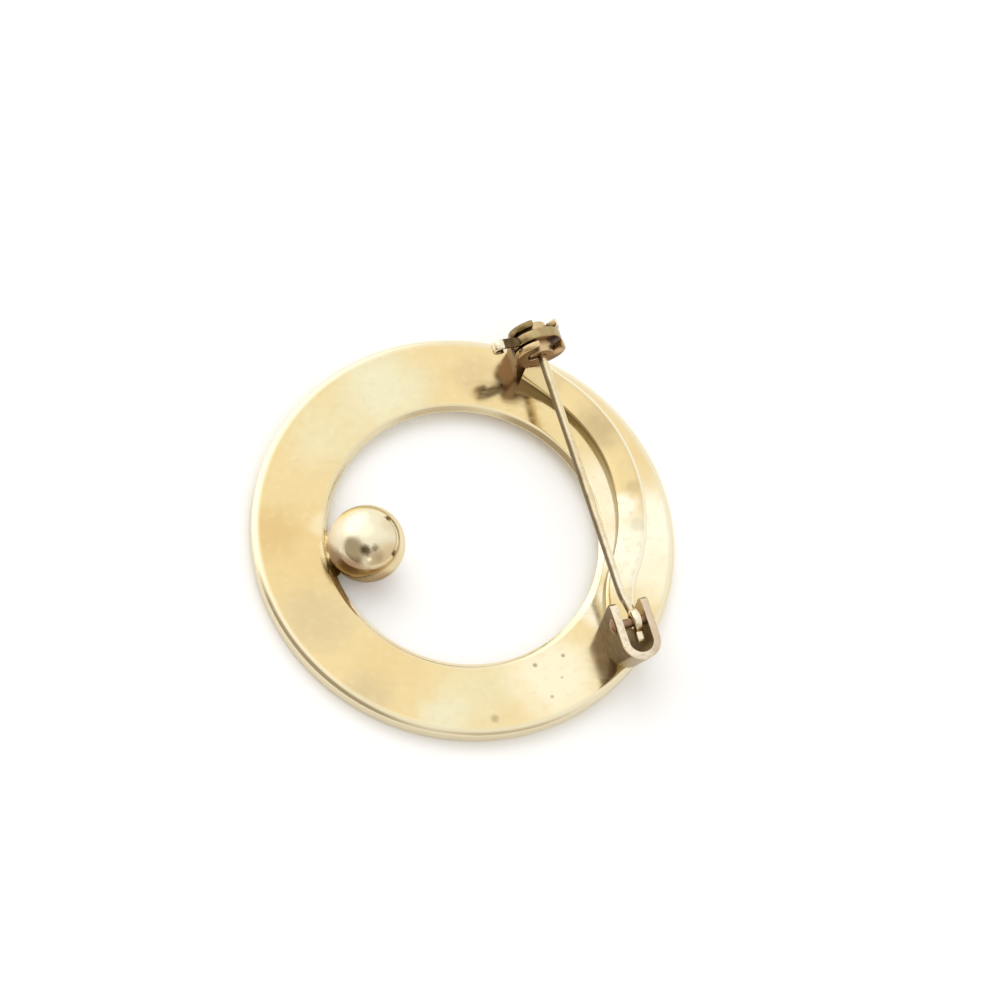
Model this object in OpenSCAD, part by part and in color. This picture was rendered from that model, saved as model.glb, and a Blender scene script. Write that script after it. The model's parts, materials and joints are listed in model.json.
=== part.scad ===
// Circle brooch, lying face down, so the back with its pin work points up.
// The origin is the middle of the ring on its front plane, and +Z points out of the back.
// What is soldered together on the real brooch is one solid, brooch_body.

/* [Ring] */
// Outer diameter of the ring
ring_d = 38; // [37.5:0.5:38.5]
// Width of the flat band
band_w = 6.85; // [6.5:0.05:7.2]
// Thickness of the ring
ring_t = 1.8; // [1.4:0.1:2.2]
// How steeply the back rolls off at the outer edge, in degrees
outer_slope = 40; // [35:1:45]
// Radius of the bend that starts that roll
outer_bend = 0.85; // [0.7:0.05:0.9]
// Length of the bevel beyond that bend
outer_bevel = 0.18; // [0.1:0.02:0.24]
// How steeply the back rolls off round the hole, in degrees
inner_slope = 38; // [33:1:43]
// Radius of the bend that starts that roll
inner_bend = 0.5; // [0.4:0.05:0.6]
// Length of the bevel beyond that bend
inner_bevel = 0.45; // [0.35:0.05:0.55]
// Thickness of the rim round the hole
rim_t = 0.2; // [0.15:0.05:0.3]
// Width over which the front curves up to that rim
dish_w = 2.2; // [1.6:0.1:2.6]
// Radius that eases the front's outer corner
front_edge = 0.3; // [0.1:0.05:0.4]

/* [Ball] */
// Diameter of the ball, which touches the front plane
ball_d = 6.9; // [6:0.1:7.5]
// How far the ball bites into the ring's inner edge, seen from the back
ball_bite = 0.1; // [0:0.05:0.2]
// Direction of the ball from the middle of the ring, in degrees from +X
ball_angle = 191; // [180:1:200]
// Radius of the solder that joins the ball to the ring
solder_r = 0.65; // [0.55:0.05:0.7]
// Height of the solder's middle above the front plane
solder_z = 1.3; // [1.2:0.05:1.4]

/* [Back bar] */
// Height of the bar above the ring's back
bar_h = 1; // [0.6:0.1:1.3]
// Width of the bar
bar_w = 2.65; // [2.2:0.05:3]
// Radius of the bar's long curve, at the middle of its width
bar_r = 14.8; // [14.6:0.1:15]
// Shift of the long curve's centre from the middle of the ring, along X
bar_x = 0.3; // [0:0.1:0.5]
// Shift of the long curve's centre from the middle of the ring, along Y
bar_y = 2.1; // [1.9:0.1:2.3]
// Angle where the long curve ends under the catch
bar_catch_angle = 68; // [66:1:70]
// Angle where the bar's top starts to rise to the catch
bar_rise_angle = 54; // [50:1:58]
// How far it rises
bar_rise = 0.9; // [0.5:0.1:1]
// Angle below +X where the bar bends back towards the joint
bar_bend_angle = 20; // [18:1:22]
// Radius of that bend
bar_bend_r = 9; // [8:0.5:10]

/* [Pin line] */
// Place of the joint's rivet along X
joint_x = 13.95; // [13.8:0.05:14.1]
// Place of the joint's rivet along Y
joint_y = -9.65; // [-9.8:0.05:-9.5]
// Place of the catch along X
catch_x = 6.4; // [6.2:0.1:6.6]
// Place of the catch along Y
catch_y = 17.1; // [17:0.1:17.3]
// Height of the pin's axis above the ring's back
pin_h = 4.4; // [4.2:0.1:4.6]

/* [Pin] */
// Thickness of the pin stem
pin_d = 0.8; // [0.7:0.05:0.85]
// Radius of the flat eye round the rivet
eye_r = 1.15; // [1:0.05:1.25]
// How far the eye stands to the right of the stem
eye_shift = 0.4; // [0.35:0.05:0.5]
// Length of the tail that stands out behind the rivet
tail_len = 1.6; // [1.4:0.1:1.8]
// How steeply the tail drops, in degrees
tail_drop = 6; // [0:1:20]

/* [Joint] */
// Clear width between the two ears
ear_gap = 2.2; // [2.1:0.05:2.3]
// Thickness of the bent strip
ear_t = 0.65; // [0.5:0.05:0.7]
// How far the bracket stands to the right of the pin line
bracket_shift = 0.1; // [0:0.05:0.15]
// How far the closed end leans out over the ring's edge, in degrees
lean = 15; // [10:1:18]
// Height of the ears above the ring's back
ear_top = 5.5; // [5.4:0.1:5.8]
// Reach of the ears from the rivet towards the catch
ear_front = 1.9; // [1.6:0.1:2]
// Reach of the closed end beyond the rivet, at the rivet's height
ear_back = 3.6; // [3.4:0.1:3.7]
// Radius of the rivet
rivet_r = 0.42; // [0.38:0.02:0.44]

/* [Safety catch] */
// Radius of the two fixed cheeks
cheek_r = 2.3; // [2.2:0.05:2.4]
// Thickness of each cheek
cheek_t = 0.6; // [0.5:0.05:0.65]
// Gap between each cheek and the turning disc
side_gap = 0.27; // [0.15:0.01:0.3]
// Radius of the turning disc
disc_r = 2.2; // [2.1:0.05:2.25]
// Thickness of the turning disc
disc_t = 0.9; // [0.8:0.05:1]
// Radius of the hub that turns in both cheeks
hub_r = 1.15; // [1.1:0.05:1.2]
// Width of the slot that the pin drops into
slot_w = 0.84; // [0.8:0.02:0.9]
// How far the cheeks' mouth opens to the left of the pin
mouth_left = 0.45; // [0.42:0.01:0.5]
// How far the cheeks' mouth opens to the right of the pin, at the pin's height
mouth_right = 1; // [0.8:0.1:1.1]
// How far the mouth's right side leans outwards as it rises, in degrees
mouth_flare = 29; // [20:1:32]
// How far the catch is turned on from the place where its slot lets the pin out, in degrees
turn_to_open = 100; // [90:1:105]
// Height of the thumb lever above level, in degrees
lever_angle = 12; // [8:1:18]
// Distance of the lever's curl from the catch's axis
curl_at = 3.75; // [3.6:0.05:3.9]
// Outer radius of the lever's curl
curl_r = 0.72; // [0.6:0.02:0.8]

/* [Hidden] */
$fn = 96;
gold = [0.80, 0.69, 0.42];
copper_gold = [0.66, 0.50, 0.33];
pale_gold = [0.86, 0.78, 0.55];

// Height of the pin's axis above the front plane
pin_z = ring_t + pin_h;
// Length of the pin line, from the rivet to the middle of the catch, and its direction
pin_len = norm([catch_x - joint_x, catch_y - joint_y]);
pin_turn = atan2(catch_y - joint_y, catch_x - joint_x);
// How deep a soldered foot sinks into the metal under it, past the ring's rolled edge
sink = 0.45;
// Clearance round the rivet: in the ears it sits, in the pin's eye it turns
rivet_sits = 0.03;
rivet_turns = 0.06;
// Clearance of the hub in the cheeks
hub_turns = 0.05;

ring_r = ring_d / 2;
hole_r = ring_r - band_w;
// Section of a rolled edge, from the flat back outwards: how far out, and how deep
function rolled_edge(slope, bend, bevel) = concat(
    [for (i = [0:4]) [bend * sin(slope * i / 4), bend * (1 - cos(slope * i / 4))]],
    [[bend * sin(slope) + bevel * cos(slope), bend * (1 - cos(slope)) + bevel * sin(slope)]]
);
outer_edge = rolled_edge(outer_slope, outer_bend, outer_bevel);
inner_edge = rolled_edge(inner_slope, inner_bend, inner_bevel);
last = len(outer_edge) - 1;
// Lower side of the rim round the hole
rim_z = ring_t - inner_edge[last].y - rim_t;
ball_r = ball_d / 2;
// Radius of the ball where the ring's back cuts it
ball_at_back = sqrt(ball_r * ball_r - (ring_t - ball_r) * (ring_t - ball_r));
ball_at = hole_r + ball_bite - ball_at_back;

// Centre of the bar's second bend, on the other side of the bar
bend_x = bar_x + (bar_r + bar_bend_r) * cos(bar_bend_angle);
bend_y = bar_y - (bar_r + bar_bend_r) * sin(bar_bend_angle);

joint_r = ear_gap / 2 + ear_t;
catch_near = pin_len - disc_t / 2 - side_gap - cheek_t;
catch_far = pin_len + disc_t / 2 + side_gap + cheek_t;
hub_stands_out = 0.15;
// Turned-up foot of the catch: where it starts to the left of the pin line, and its thickness
foot_at = 0.3;
foot_w = 1.4;
// Where the foot's left and right faces meet the cheeks
foot_left_rise = 0.4;
foot_right_at = 0.8;

// Places its children on the pin line: origin in the rivet, +X towards the catch, +Y to the left
module on_pin_line() {
    translate([joint_x, joint_y, pin_z]) rotate([0, 0, pin_turn]) children();
}

// Extrudes a shape drawn across the pin line (left, up) from one place on the line for a length
module across_line(from, length) {
    translate([from, 0, 0]) rotate([90, 0, 90]) linear_extrude(length) children();
}

// Extrudes a shape drawn along the pin line (towards the catch, up), centred at a place to the left
module beside_line(left, thickness) {
    translate([0, left, 0]) rotate([90, 0, 0]) linear_extrude(thickness, center = true) children();
}

// Wedge seen from above, from one angle to another, for cutting arcs to length
module wedge(from, to, reach, height) {
    middle = (from + to) / 2;
    far = reach / cos((to - from) / 2);
    translate([0, 0, -sink]) linear_extrude(height + 2 * sink) polygon([
        [0, 0],
        [reach * cos(from), reach * sin(from)],
        [far * cos(middle), far * sin(middle)],
        [reach * cos(to), reach * sin(to)]
    ]);
}

// Flat strip that follows an arc round the local origin
module arc_strip(radius, from, to, height) {
    intersection() {
        difference() {
            cylinder(h = height, r = radius + bar_w / 2, $fn = 180);
            translate([0, 0, -sink]) cylinder(h = height + 2 * sink, r = radius - bar_w / 2, $fn = 180);
        }
        wedge(from, to, 2 * radius, height);
    }
}

// The flat band: its back rolls off at both edges, and its front curves up to a thin inner rim
module ring() {
    rotate_extrude($fn = 180) polygon(concat(
        [for (i = [0:4]) let (a = -90 + 90 * i / 4)
            [ring_r - front_edge + front_edge * cos(a), front_edge + front_edge * sin(a)]],
        [for (i = [last:-1:0]) [ring_r - outer_edge[last].x + outer_edge[i].x, ring_t - outer_edge[i].y]],
        [for (p = inner_edge) [hole_r + inner_edge[last].x - p.x, ring_t - p.y]],
        [for (i = [0:6]) let (a = 180 + 90 * i / 6)
            [hole_r + dish_w + dish_w * cos(a), rim_z + rim_z * sin(a)]]
    ));
}

// The ball and the solder that holds it to the ring's inner edge
module ball() {
    rotate([0, 0, ball_angle]) {
        translate([ball_at, 0, ball_r]) sphere(r = ball_r);
        translate([ball_at, 0, solder_z]) rotate([0, 90, 0])
            cylinder(h = hole_r + band_w / 6 - ball_at, r = solder_r, $fn = 48);
    }
}

// The bar's long curve, whose top rises to the catch at its end
module long_curve() {
    height = bar_h + sink;
    rise_length = bar_r * (bar_catch_angle - bar_rise_angle) * PI / 180;
    difference() {
        arc_strip(bar_r, -bar_bend_angle, bar_catch_angle, height + bar_rise);
        rotate([0, 0, bar_rise_angle]) translate([0, 0, height]) {
            translate([-2 * bar_r, -4 * bar_r, 0]) cube([4 * bar_r, 4 * bar_r, 2 * bar_rise]);
            translate([bar_r - bar_w, 0, 0]) rotate([atan(bar_rise / rise_length), 0, 0])
                cube([2 * bar_w, 2 * rise_length, 3 * bar_rise]);
        }
    }
}

// The raised strip from the catch to the joint: a long curve, a bend the other way, a straight end
module back_bar() {
    straight = bend_y - joint_y - ear_front / 2;
    translate([0, 0, ring_t - sink]) {
        translate([bar_x, bar_y, 0]) long_curve();
        translate([bend_x, bend_y, 0]) arc_strip(bar_bend_r, 180 - bar_bend_angle, 180, bar_h + sink);
        translate([bend_x - bar_bend_r - bar_w / 2, bend_y - straight, 0])
            cube([bar_w, straight, bar_h + sink]);
    }
}

// Outline of the bent strip seen from above, or of the room inside it, open towards the catch
module bracket_outline(half_width) {
    translate([joint_r - ear_back, -bracket_shift]) {
        circle(r = half_width);
        translate([0, -half_width]) square([2 * ear_back, 2 * half_width]);
    }
}

// Extrudes an outline upwards so that it leans back from the catch
module leaning() {
    rotate([0, -lean, 0]) linear_extrude(4 * ear_top, center = true) children();
}

// Slab across the joint between two heights above the ring's back, as far as the ears' front
module joint_slab(from, to, front) {
    translate([-3 * ear_back, -3 * joint_r, from - pin_h])
        cube([3 * ear_back + front, 6 * joint_r, to - from]);
}

// Strip bent to a U round the pin's eye, standing on the ring, with a floor between its ears
module joint_bracket() {
    // Radius of the ears' front corners
    corner_r = 0.8;
    on_pin_line() difference() {
        intersection() {
            leaning() bracket_outline(joint_r);
            joint_slab(-sink, ear_top, ear_front);
        }
        // Room for the pin's eye
        intersection() {
            leaning() bracket_outline(ear_gap / 2);
            joint_slab(ear_t, 2 * ear_top, 2 * ear_front);
        }
        // Holes for the rivet
        rotate([90, 0, 0]) cylinder(h = 4 * joint_r, r = rivet_r + rivet_sits, center = true, $fn = 48);
        // Round corners at the front of the ears
        translate([ear_front - corner_r, 0, ear_top - pin_h - corner_r])
            beside_line(0, 4 * joint_r) difference() {
                square(corner_r + 0.1);
                circle(r = corner_r);
            }
    }
}

// One cheek seen along the pin: a round plate on the foot, with the hub's hole and the mouth
module cheek_shape() {
    difference() {
        union() {
            circle(r = cheek_r);
            foot_shape();
        }
        circle(r = hub_r + hub_turns);
        polygon([
            [mouth_left, 0], [mouth_left, 2 * cheek_r],
            [-mouth_right - 2 * cheek_r * tan(mouth_flare), 2 * cheek_r], [-mouth_right, 0]
        ]);
    }
}

// The turned-up end of the bar, seen along the pin: it leans out to the left as it rises
module foot_shape() {
    polygon([
        [foot_at, -pin_h - sink],
        [foot_at + foot_w, -pin_h - sink],
        [cheek_r - 0.05, -foot_left_rise],
        [foot_right_at, foot_left_rise - cheek_r]
    ]);
}

// Two fixed cheeks on the turned-up foot
module catch_housing() {
    on_pin_line() {
        across_line(catch_near, cheek_t) cheek_shape();
        across_line(catch_far - cheek_t, cheek_t) cheek_shape();
        across_line(catch_near + cheek_t / 2, catch_far - catch_near - cheek_t) difference() {
            foot_shape();
            circle(r = disc_r + side_gap);
        }
    }
}

module brooch_body() {
    color(gold) union() {
        ring();
        ball();
        back_bar();
        joint_bracket();
        catch_housing();
    }
}

// The rivet through both ears, with a low dome on each end
module hinge_rivet() {
    head_r = 0.72;
    head_h = 0.26;
    dome_r = (head_r * head_r + head_h * head_h) / (2 * head_h);
    shank = joint_r + rivet_sits;
    color(copper_gold) on_pin_line() translate([0, -bracket_shift, 0]) rotate([90, 0, 0]) {
        cylinder(h = 2 * shank + head_h, r = rivet_r, center = true, $fn = 48);
        for (side = [0, 1]) mirror([0, 0, side]) intersection() {
            translate([0, 0, shank + head_h - dome_r]) sphere(r = dome_r, $fn = 64);
            translate([0, 0, shank]) cylinder(h = head_h, r = head_r, $fn = 48);
        }
    }
}

// Round wire between two points
module wire(start, end, r1, r2) {
    run = end - start;
    turn = atan2(run.y, run.x);
    drop = acos(run.z / norm(run));
    translate(start) rotate([0, drop, turn]) cylinder(h = norm(run), r1 = r1, r2 = r2, $fn = 48);
}

// The straight pin, with its flat eye, the crook that joins them, and the tail
module pin_stem() {
    pin_r = pin_d / 2;
    tip_r = 0.12;
    crook = [2.6, 0, 0];
    in_eye = [0.75, -eye_shift, 0];
    taper = [catch_near - 0.9, 0, 0];
    tip = [catch_far - 0.25, 0, 0];
    color(pale_gold) on_pin_line() difference() {
        union() {
            beside_line(-eye_shift, pin_d) union() {
                circle(r = eye_r);
                rotate(180 + tail_drop) translate([0, -pin_r]) square([tail_len, pin_d]);
                rotate(180 + tail_drop) translate([tail_len, 0]) circle(r = pin_r);
            }
            wire(in_eye, crook, pin_r, pin_r);
            // A little fuller than the wire, as a bend is
            translate(crook) sphere(r = pin_r + 0.01, $fn = 48);
            wire(crook, taper, pin_r, pin_r);
            wire(taper, tip, pin_r, tip_r);
            wire(tip, tip + [tip_r, 0, 0], tip_r, tip_r / 4);
        }
        rotate([90, 0, 0]) cylinder(h = 4 * joint_r, r = rivet_r + rivet_turns, center = true, $fn = 48);
    }
}

// The slotted disc and hub, turned shut over the pin, with the thumb lever and its curl
module catch_rotor() {
    color(copper_gold) on_pin_line() difference() {
        union() {
            across_line(pin_len - disc_t / 2, disc_t) {
                circle(r = disc_r);
                rotate(lever_angle) thumb_lever_shape();
            }
            across_line(catch_near - hub_stands_out, catch_far - catch_near + 2 * hub_stands_out)
                circle(r = hub_r);
        }
        across_line(catch_near - 1, catch_far - catch_near + 2) rotate(-turn_to_open) union() {
            circle(r = slot_w / 2);
            translate([-slot_w / 2, 0]) square([slot_w, disc_r + 0.3]);
        }
    }
}

// Arm and curl, drawn level and pointing left
module thumb_lever_shape() {
    strip = curl_r / 2;
    translate([disc_r - 0.3, curl_r - strip]) square([curl_at - disc_r + 0.3, strip]);
    translate([curl_at, 0]) difference() {
        circle(r = curl_r, $fn = 48);
        circle(r = curl_r - strip, $fn = 48);
        // The curl stays open towards the disc
        translate([-curl_r, -curl_r / 2]) square([curl_r, curl_r]);
    }
}

brooch_body();
hinge_rivet();
pin_stem();
catch_rotor();
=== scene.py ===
"""Looks of the circle brooch: smooth polished metal in place of the plain solids, on a pale floor.

Shapes are worked out in millimetres and brought to metres as each piece is finished.
"""

import json
import math
from collections import namedtuple

import bmesh
import bpy
from mathutils import Matrix, Vector
from mathutils.geometry import tessellate_polygon


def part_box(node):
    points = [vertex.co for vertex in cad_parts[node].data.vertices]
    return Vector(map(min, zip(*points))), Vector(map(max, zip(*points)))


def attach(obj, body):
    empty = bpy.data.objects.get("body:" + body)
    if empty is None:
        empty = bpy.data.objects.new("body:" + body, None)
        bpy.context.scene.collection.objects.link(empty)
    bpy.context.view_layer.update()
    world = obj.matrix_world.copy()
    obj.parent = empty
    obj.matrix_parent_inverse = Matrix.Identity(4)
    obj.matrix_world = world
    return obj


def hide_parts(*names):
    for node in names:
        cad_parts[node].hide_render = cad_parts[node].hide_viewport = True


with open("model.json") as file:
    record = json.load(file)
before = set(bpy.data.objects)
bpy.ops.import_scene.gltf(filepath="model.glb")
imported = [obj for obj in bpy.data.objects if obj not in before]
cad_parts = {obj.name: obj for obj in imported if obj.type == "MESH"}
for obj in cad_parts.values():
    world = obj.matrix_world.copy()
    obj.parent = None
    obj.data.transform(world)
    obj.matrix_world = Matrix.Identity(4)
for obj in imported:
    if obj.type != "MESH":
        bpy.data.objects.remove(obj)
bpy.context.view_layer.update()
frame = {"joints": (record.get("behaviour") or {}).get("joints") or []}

MM = 0.001

# Places that the frame gives: the two joint axes and the ring's rim
joint_at = {joint["name"]: Vector(joint["pos_m"]) / MM for joint in frame["joints"]}
RIVET = joint_at["pin_hinge"]
CATCH = joint_at["catch_turn"]
RING_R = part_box("brooch_body")[1].x / MM

# Ring: a flat band whose edges roll off, with a front that is dished up to a thin inner rim
BAND_W = 6.85
HOLE_R = RING_R - BAND_W
RING_T = 1.8
# Both edges roll off in a bend, a bevel and a tight bend down to the upright
Roll = namedtuple("Roll", "slope bend_r bevel end_r")
OUTER_ROLL = Roll(math.radians(40), 0.85, 0.12, 0.12)
INNER_ROLL = Roll(math.radians(38), 0.5, 0.4, 0.1)
ROLL_STEPS = 10
ROLL_END_STEPS = 6
# From the hole to the flat back beside the ball, where the solder lies
INNER_ROLL_W = 0.66
RIM_R = 0.12
RIM_DROP = 0.02
DISH_W = 2.2
FRONT_EDGE = 0.3

# Ball, soldered at the inner edge
BALL_R = 3.45
BALL_BITE = 0.1
BALL_TURN = math.radians(191)

# Solder beside the ball: how far its middle lies from the ball's, its half lengths outwards and
# sideways, its height and the power that dishes it, how far it sinks for each millimetre beyond
# the flat back, and the depth of its base
SOLDER_AT = 3.05
SOLDER_HALF_OUT = 0.95
SOLDER_HALF_SIDE = 2.0
SOLDER_H = 0.36
SOLDER_DISHING = 2.2
SOLDER_DROOP = 0.35
SOLDER_BASE = 0.4

# Raised bar across the right of the ring
BAR_H = 1.0
BAR_W = 2.65
BAR_SINK = 0.6
BAR_R = 14.8
BAR_AT = Vector((0.3, 2.1))
BAR_TOP_ANGLE = 68
BAR_BEND_ANGLE = 20
BAR_BEND_R = 9
BAR_RISE = 0.9
BAR_RISE_ANGLE = 54
BAR_SQUARENESS = 6.0

# Heights on the pin line are measured from the pin's axis; feet sink into the ring's back
PIN_H = RIVET.z - RING_T
PIN_LEN = (CATCH - RIVET).length
SINK = 0.45

# Joint bracket: a strip bent to a U, whose closed end leans out
EAR_GAP = 2.2
EAR_T = 0.65
JOINT_R = EAR_GAP / 2 + EAR_T
BRACKET_SHIFT = 0.1
LEAN = math.radians(15)
EAR_TOP = 5.5 - PIN_H
EAR_FRONT = 1.9
EAR_BACK = 3.6
EAR_CORNER = 0.8
BRACKET_RIM = 0.16

# Rivet
RIVET_R = 0.42
RIVET_HEAD_R = 0.72
RIVET_HEAD_H = 0.26
RIVET_STANDS_OUT = 0.03

# Pin
PIN_R = 0.4
EYE_R = 1.15
EYE_SHIFT = 0.4
EYE_PLAY = 0.06
TAIL_LEN = 1.6
TAIL_DROP = 6
# The crook by which the stem leaves the eye, seen from above: towards the catch, left
CROOK = [(0.75, -EYE_SHIFT), (2.1, -0.16), (2.35, -0.08), (2.6, -0.03), (2.9, 0.0)]
# The taper starts short of the near cheek, and the tip ends inside the far one
TAPER = 0.9
TIP_INSET = 0.25
TIP_RADII = [0.36, 0.12, 0.08, 0.02]

# Safety catch
CHEEK_R = 2.3
CHEEK_T = 0.6
SIDE_GAP = 0.27
DISC_R = 2.2
DISC_T = 0.9
HUB_R = 1.15
HUB_PLAY = 0.05
HUB_STANDS_OUT = 0.15
SLOT_W = 0.84
MOUTH_LEFT = 0.45
MOUTH_RIGHT = 1.0
MOUTH_FLARE = math.radians(29)
# How far the rotor turns from its shut place until its slot is under the mouth
TURN_TO_OPEN = 100
LEVER_ANGLE = math.radians(12)
CURL_AT = 3.75
CURL_R = 0.72
CATCH_NEAR = PIN_LEN - DISC_T / 2 - SIDE_GAP - CHEEK_T
CATCH_FAR = PIN_LEN + DISC_T / 2 + SIDE_GAP + CHEEK_T
# Corners of the turned-up foot, seen along the pin: left, up
FOOT = [(0.3, -PIN_H - SINK), (1.7, -PIN_H - SINK), (2.25, -0.4), (0.8, -1.9)]

# Radii that ease the rims of the flat pieces
CHEEK_RIM = 0.1
ROTOR_RIM = 0.12
FLOOR_RIM = 0.12
FOOT_RIM = 0.22
EYE_RIM = 0.22

# Angle past which an edge between two faces is left sharp
CREASE = math.radians(40)

# For each kind of piece: the body it rides on, its slot and the node that it stands for
BODY = ("brooch", "polished_gold_tone", "brooch_body")
RIVET_PART = ("brooch", "catch_gold_tone", "hinge_rivet")
PIN = ("pin", "pin_gold_tone", "pin_stem")
ROTOR = ("rotor", "catch_gold_tone", "catch_rotor")

# Planes that the pin's pieces are drawn in: the pin line itself (towards the catch, left, up),
# across it (left, up) and beside it (towards the catch, up)
towards_catch = (CATCH - RIVET).normalized()
to_left = Vector((-towards_catch.y, towards_catch.x, 0))
upwards = Vector((0, 0, 1))


def plane(x_axis, y_axis, z_axis, origin):
    """Matrix that lays a local drawing plane into the brooch."""
    matrix = Matrix((x_axis, y_axis, z_axis)).transposed().to_4x4()
    matrix.translation = origin
    return matrix


ON_PIN_LINE = plane(towards_catch, to_left, upwards, RIVET)
ACROSS_PIN_LINE = plane(to_left, upwards, towards_catch, RIVET)
BESIDE_PIN_LINE = plane(towards_catch, upwards, -to_left, RIVET)


# Node trees

class Number:
    """A number in a node tree, so that sums on masks, heights and sizes are written as sums."""

    def __init__(self, graph, socket):
        self.graph = graph
        self.socket = socket

    def __add__(self, other):
        return self.graph.maths("ADD", self, other)

    def __sub__(self, other):
        return self.graph.maths("SUBTRACT", self, other)

    def __rsub__(self, other):
        return self.graph.maths("SUBTRACT", other, self)

    def __mul__(self, other):
        return self.graph.maths("MULTIPLY", self, other)

    def __truediv__(self, other):
        return self.graph.maths("DIVIDE", self, other)

    def __rtruediv__(self, other):
        return self.graph.maths("DIVIDE", other, self)

    def __pow__(self, other):
        return self.graph.maths("POWER", self, other)

    def __abs__(self):
        return self.graph.maths("ABSOLUTE", self)

    __radd__ = __add__


class Graph:
    """Adds nodes to one node tree and links them."""

    def __init__(self, tree):
        self.tree = tree

    def node(self, kind, settings, sockets):
        """A node of a kind, with its settings, then the values or links of its sockets."""
        node = self.tree.nodes.new(kind)
        for name, value in settings.items():
            setattr(node, name, value)
        for key, value in sockets.items():
            socket = node.inputs[key] if isinstance(key, int) else self.open_socket(node, key)
            if isinstance(value, Number):
                value = value.socket
            if isinstance(value, bpy.types.NodeSocket):
                self.tree.links.new(value, socket)
            else:
                socket.default_value = value
        return node

    @staticmethod
    def open_socket(node, name):
        """The input of that name which the node's settings leave in use."""
        return next(s for s in node.inputs if s.name == name and s.enabled)

    def number(self, socket):
        return Number(self, socket)

    def maths(self, operation, *values):
        node = self.node("ShaderNodeMath", {"operation": operation}, dict(enumerate(values)))
        return self.number(node.outputs[0])

    def vector(self, operation, *values):
        node = self.node("ShaderNodeVectorMath", {"operation": operation}, dict(enumerate(values)))
        return node.outputs["Vector"]

    def measure(self, operation, *values):
        """A vector sum that ends in a number, such as a distance or a dot product."""
        node = self.node("ShaderNodeVectorMath", {"operation": operation}, dict(enumerate(values)))
        return self.number(node.outputs["Value"])

    def ramp(self, value, low, high, to_low=0.0, to_high=1.0):
        """A soft step: to_low where the value is below low, to_high where it is above high."""
        node = self.node("ShaderNodeMapRange", {"interpolation_type": "SMOOTHSTEP"}, {
            "Value": value, "From Min": low, "From Max": high,
            "To Min": to_low, "To Max": to_high})
        return self.number(node.outputs["Result"])

    def noise(self, place, scale, detail=2.0, roughness=0.5):
        node = self.node("ShaderNodeTexNoise", {"noise_dimensions": "3D"}, {
            "Vector": place, "Scale": scale, "Detail": detail, "Roughness": roughness})
        return self.number(node.outputs["Fac"])

    def mixed(self, share, first, second):
        """Two colours mixed, with a share of the second."""
        node = self.node("ShaderNodeMix", {"data_type": "RGBA", "blend_type": "MIX"}, {
            "Factor": share, "A": colour(first), "B": colour(second)})
        return node.outputs[2]


def colour(value):
    """Three numbers made a colour with full alpha, and a link left alone."""
    return value if isinstance(value, bpy.types.NodeSocket) else (*value, 1.0)


# Trees that make shapes

def shape_tree(name, numbers):
    """A tree for a modifier that takes geometry and a material, with named number inputs."""
    tree = bpy.data.node_groups.new(name, "GeometryNodeTree")
    face = tree.interface
    face.new_socket("Geometry", in_out="INPUT", socket_type="NodeSocketGeometry")
    for label, kind in numbers.items():
        face.new_socket(label, in_out="INPUT", socket_type=kind)
    face.new_socket("Material", in_out="INPUT", socket_type="NodeSocketMaterial")
    face.new_socket("Geometry", in_out="OUTPUT", socket_type="NodeSocketGeometry")
    graph = Graph(tree)
    given = graph.node("NodeGroupInput", {}, {}).outputs
    return graph, given


def end_tree(graph, given, swept):
    """Ends a tree: smooth faces, real geometry and the piece's material."""
    smooth = graph.node("GeometryNodeSetShadeSmooth", {}, {"Geometry": swept})
    real = graph.node("GeometryNodeRealizeInstances", {}, {"Geometry": smooth.outputs[0]})
    dressed = graph.node("GeometryNodeSetMaterial", {}, {
        "Geometry": real.outputs[0], "Material": given["Material"]})
    graph.node("NodeGroupOutput", {}, {"Geometry": dressed.outputs[0]})
    return graph.tree


def turned_tree():
    """Turns a section, drawn as distance from the axis and height, all the way round."""
    graph, given = shape_tree("turned metal", {"Segments": "NodeSocketInt"})
    section = graph.node("GeometryNodeMeshToCurve", {}, {"Mesh": given["Geometry"]})
    # The rail has a radius of 1, and a section on a rail hangs with its height downwards
    hung = graph.node("GeometryNodeTransform", {}, {
        "Geometry": section.outputs[0], "Translation": (-1, 0, 0), "Scale": (1, -1, 1)})
    rail = graph.node("GeometryNodeCurvePrimitiveCircle", {"mode": "RADIUS"}, {
        "Resolution": given["Segments"], "Radius": 1.0})
    swept = graph.node("GeometryNodeCurveToMesh", {}, {
        "Curve": rail.outputs[0], "Profile Curve": hung.outputs[0]})
    merged = graph.node("GeometryNodeMergeByDistance", {}, {
        "Geometry": swept.outputs[0], "Distance": 0.0005})
    return end_tree(graph, given, merged.outputs[0])


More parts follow.
